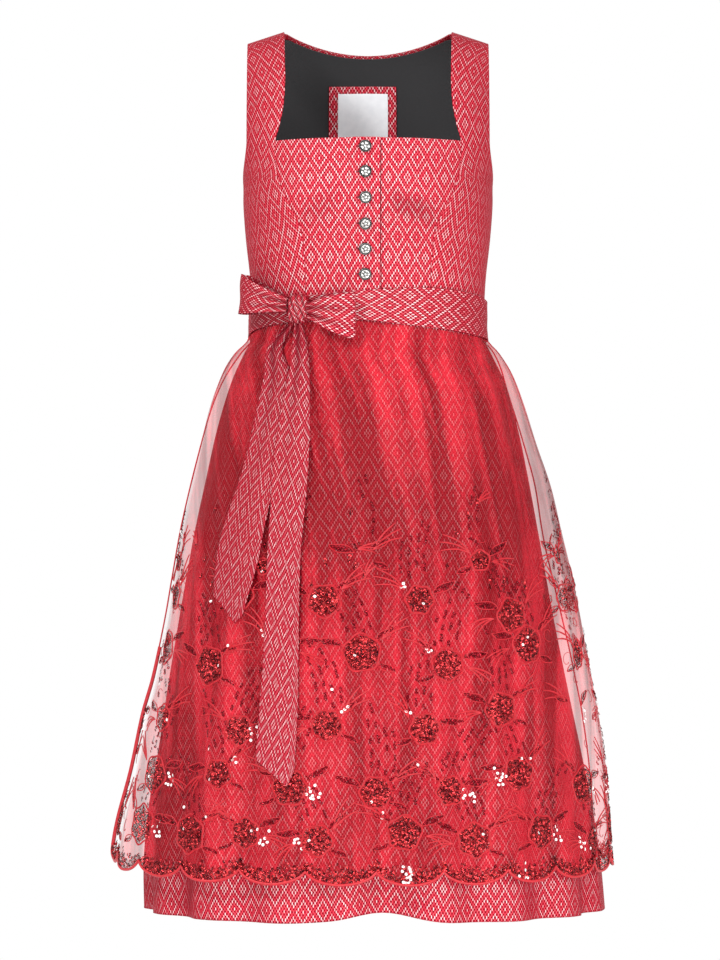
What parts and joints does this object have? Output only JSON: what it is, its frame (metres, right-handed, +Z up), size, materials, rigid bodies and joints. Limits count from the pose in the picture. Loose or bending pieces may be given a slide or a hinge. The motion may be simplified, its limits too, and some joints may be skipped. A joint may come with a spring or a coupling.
{
  "type": "dirndl with apron",
  "caption": "Worn sleeveless dirndl: fitted buttoned bodice, flared calf-length skirt, gathered sheer apron with scalloped hem, and a sash tied in a bow.",
  "frame": {"origin": "midway between the shoulders, level with the tops of the straps, where the wearer holds the dress up", "axes": "+Z up, the front faces -Y, +X is the wearer's left"},
  "size_m": [0.5991, 0.5096, 1.0512],
  "materials": {
    "dress_cloth": "jacquard with pale floats on a crimson ground, slightly lustrous",
    "sash_cloth": "the same jacquard, cut lengthwise along the strip",
    "organza": "see-through organza with embroidery and sequins",
    "lining": "matt black lining",
    "silver": "silvery metal, darkened in the hollows",
    "label": "smooth woven satin"
  },
  "bodies": {
    "root": {"apron": "organza", "back_lining": "lining", "bodice_centre_back": "dress_cloth", "bodice_centre_front_left": "dress_cloth", "bodice_centre_front_right": "dress_cloth", "bodice_side_back_left": "dress_cloth", "bodice_side_back_right": "dress_cloth", "bodice_side_front_left": "dress_cloth", "bodice_side_front_right": "dress_cloth", "bow_knot": "sash_cloth", "bow_loop_left": "sash_cloth", "bow_loop_right": "sash_cloth", "bow_tail_long": "sash_cloth", "bow_tail_short": "sash_cloth", "button_1": "silver", "button_2": "silver", "button_3": "silver", "button_4": "silver", "button_5": "silver", "button_6": "silver", "label_backing": "dress_cloth", "neck_label": "label", "sash_back": "sash_cloth", "sash_front": "sash_cloth", "skirt_back": "dress_cloth", "skirt_front": "dress_cloth"}
  },
  "joints": []
}
